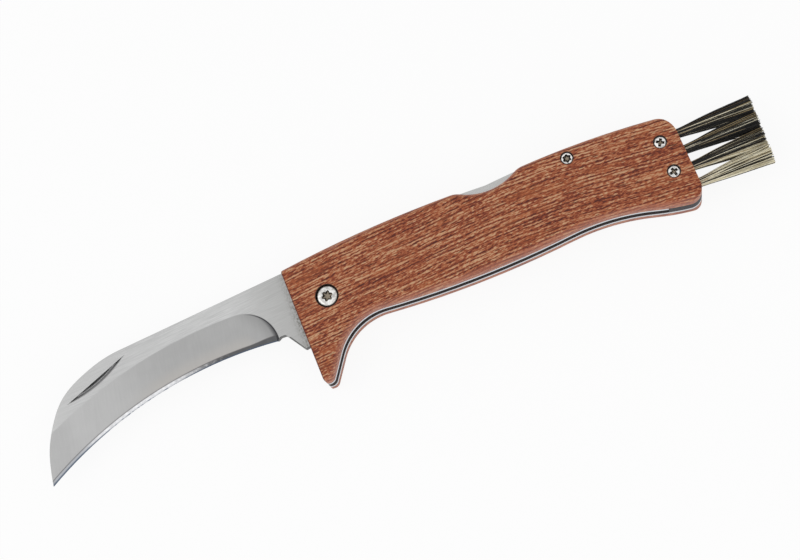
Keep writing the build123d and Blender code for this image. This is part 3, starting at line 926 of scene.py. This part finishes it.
hair_finishes = {
    "black": hair_finish("hair_black", (0.004, 0.004, 0.004), (0.016, 0.014, 0.012)),
    "brown": hair_finish("hair_brown", (0.045, 0.028, 0.014), (0.120, 0.080, 0.036)),
    "gold": hair_finish("hair_gold", (0.250, 0.178, 0.080), (0.480, 0.375, 0.195)),
    "straw": hair_finish("hair_straw", (0.620, 0.550, 0.365), (0.970, 0.925, 0.740)),
}
print("hair colours", ", ".join(hair_finishes))

# %% A bundle of hair
hairs_per_tuft = 300
locks_per_tuft = 110
hair_radius = 0.115
bundle_radius = 1.16
root_depth = 0.4
neck_length = 3.3
tip_plane = cad_box[1].x / mm
tip_spread = 3.0
fan_power = 0.75
taper = 0.35
drawn_to_lock = 0.35
flattened = 0.8
lock_unevenness = {"short": 0.22, "swing": 0.25}
hair_unevenness = {"short": 0.16, "stray": 0.13, "bow": 0.14}
wild = {"share": 0.06, "times": 5}
cropped = {"share": 0.04, "by": (0.4, 1.6)}
lock_colour_share = 0.8


def sunflower(number, count):
    """The place of one of count points that fill a circle of radius 1 evenly."""
    out = math.sqrt((number + 0.5) / count)
    angle = number * math.pi * (3 - math.sqrt(5))
    return Vector((out * math.cos(angle), out * math.sin(angle)))


def scatter(chance, spread):
    """A random step across the bundle."""
    return Vector((chance.gauss(0, spread), chance.gauss(0, spread)))


def draw_locks(chance, shades):
    """The small locks that a tuft parts into, each with its colour, length and lean."""
    return [
        {
            "place": sunflower(number, locks_per_tuft),
            "shade": chance.choices(range(4), weights=shades)[0],
            "short": abs(chance.gauss(0, lock_unevenness["short"])),
            "swing": scatter(chance, lock_unevenness["swing"]),
        }
        for number in range(locks_per_tuft)
    ]


def draw_hair(spline, root, tip, bow):
    """Lay a curve's five points from a root through the neck of the bundle to a tip."""
    spline.points.add(4)
    neck = neck_length / (tip.x - root.x)
    for point, share in zip(spline.points, (0.0, neck, 0.45, 0.75, 1.0)):
        spread = max(0.0, (share - neck) / (1 - neck))
        curl = 4 * spread * (1 - spread)
        opening = spread**fan_power
        point.co = (
            (root.x + (tip.x - root.x) * share) * mm,
            (root.y + (tip.y - root.y) * opening + bow.x * curl) * mm,
            (root.z + (tip.z - root.z) * opening + bow.y * curl) * mm,
            1,
        )
        point.radius = 1.0 - taper * share
    spline.order_u = 3
    spline.use_endpoint_u = True


def hair_curve(name):
    """An empty curve whose splines become round hairs in any of the hair colours."""
    curve = bpy.data.curves.new(name, "CURVE")
    curve.dimensions = "3D"
    curve.bevel_depth = hair_radius * mm
    curve.bevel_resolution = 0
    curve.resolution_u = 3
    curve.use_fill_caps = True
    for finish in hair_finishes.values():
        curve.materials.append(finish)
    return curve


# %% Tufts
def make_tuft(name, height, lean, shades, slot, seed):
    """A bundle of hairs from its hole in the block to the level cut, in small locks."""
    chance = random.Random(seed)
    low, high = (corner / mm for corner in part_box(name))
    level = (low.z + high.z) / 2
    curve = hair_curve(name + "_hairs")
    locks = draw_locks(chance, shades)
    for number in range(hairs_per_tuft):
        place = sunflower(number, hairs_per_tuft)
        lock = min(locks, key=lambda lock: (lock["place"] - place).length)
        stray = scatter(chance, hair_unevenness["stray"])
        if chance.random() < wild["share"]:
            stray = stray * wild["times"]
        out = place.lerp(lock["place"], drawn_to_lock) * tip_spread + lock["swing"] + stray
        short = lock["short"] + abs(chance.gauss(0, hair_unevenness["short"]))
        if chance.random() < cropped["share"]:
            short = short + chance.uniform(*cropped["by"])
        bow = scatter(chance, hair_unevenness["bow"])
        across = place * bundle_radius
        root = Vector((low.x + root_depth, height + across.x, level + across.y))
        tip = Vector((tip_plane - short, height + lean + out.x, level + out.y * flattened))
        spline = curve.splines.new("NURBS")
        draw_hair(spline, root, tip, bow)
        own_shade = chance.choices(range(4), weights=shades)[0]
        in_step = chance.random() < lock_colour_share
        spline.material_index = lock["shade"] if in_step else own_shade
    model = bpy.data.objects.new(name + "_curve", curve)
    bpy.context.scene.collection.objects.link(model)
    data = bpy.data.meshes.new_from_object(model)
    bpy.data.objects.remove(model)
    data.name = name + "_hair"
    hand_over(data, name + "_hair", name)


# Height, lean, weights of the four hair colours, material slot and random seed.
tuft_plan = {
    "bristle_tuft_1": (-4.501, 1.05, (17, 2, 4, 77), "bristle_blond", 20),
    "bristle_tuft_2": (0.668, 0.85, (50, 8, 24, 18), "bristle_mixed", 41),
    "bristle_tuft_3": (5.837, 0.75, (66, 8, 14, 12), "bristle_dark", 62),
    "bristle_tuft_4": (11.006, 0.10, (60, 5, 9, 26), "bristle_dark", 43),
}
for name, plan in tuft_plan.items():
    make_tuft(name, *plan)

# %% [markdown]
# ## Floor, light and background
#
# The photograph is a catalogue picture: soft light from all around and a background that
# has gone to pure white. A white floor alone would render as grey in the knife's shadow,
# so the floor and the world show the camera, and the knife's reflections, a plain white,
# and light the knife only gently. A share of the floor stays a real matt surface, which
# keeps a faint shadow under the knife.

# %% White for the camera
def seen_directly(board):
    """1 for rays from the camera and for reflections, 0 for the light that spreads."""
    ray = board.add("ShaderNodeLightPath", {}, {}, "Is Camera Ray")
    return ray.higher(ray.output("Is Glossy Ray")).higher(ray.output("Is Transmission Ray"))


# %% Floor
floor_reach = 3000
floor_gap = 0.02
glow_share = 0.9

mesh = bmesh.new()
bmesh.ops.create_grid(mesh, x_segments=2, y_segments=2, size=floor_reach * mm)
bmesh.ops.translate(mesh, vec=(0, 0, -floor_gap * mm), verts=list(mesh.verts))
floor_data = bpy.data.meshes.new("floor")
mesh.to_mesh(floor_data)
mesh.free()
floor = bpy.data.objects.new("floor", floor_data)
bpy.context.scene.collection.objects.link(floor)

paper = Finish(
    "white_floor", Base_Color=(0.95, 0.95, 0.95, 1), Roughness=0.9, Specular_IOR_Level=0.0
)
matt = Wire(paper, paper.shader.outputs[0])
glow = paper.add("ShaderNodeEmission", {}, {"Color": (1, 1, 1, 1), "Strength": 1.0})
share = seen_directly(paper) * glow_share
surface = paper.add("ShaderNodeMixShader", {}, {0: share, 1: matt, 2: glow})
paper.plug(paper.tree.nodes["Material Output"].inputs["Surface"], surface)
floor_data.materials.append(paper.owner)
print("floor reaches", floor_reach, "mm")

# %% World and lamps
scene = bpy.context.scene
scene.view_settings.view_transform = "Standard"
scene.world = bpy.data.worlds.new("white_room")
spread_light = 0.62
room = Board(scene.world, "Background", Color=(1, 1, 1, 1))
room.set(Strength=seen_directly(room) * (1 - spread_light) + spread_light)

# Place in metres, size and power.
lamps = {
    "softbox_left": ((-0.60, 0.05, 0.45), 1.0, 1.9),
    "softbox_belly": ((0.25, -0.60, 0.40), 1.0, 1.6),
}
for name, (place, size, power) in lamps.items():
    lamp = bpy.data.lights.new(name, "AREA")
    lamp.size = size
    lamp.energy = power
    holder = bpy.data.objects.new(name, lamp)
    holder.location = place
    holder.rotation_euler = (-Vector(place)).to_track_quat("-Z", "Y").to_euler()
    scene.collection.objects.link(holder)
print("lamps", len(lamps))
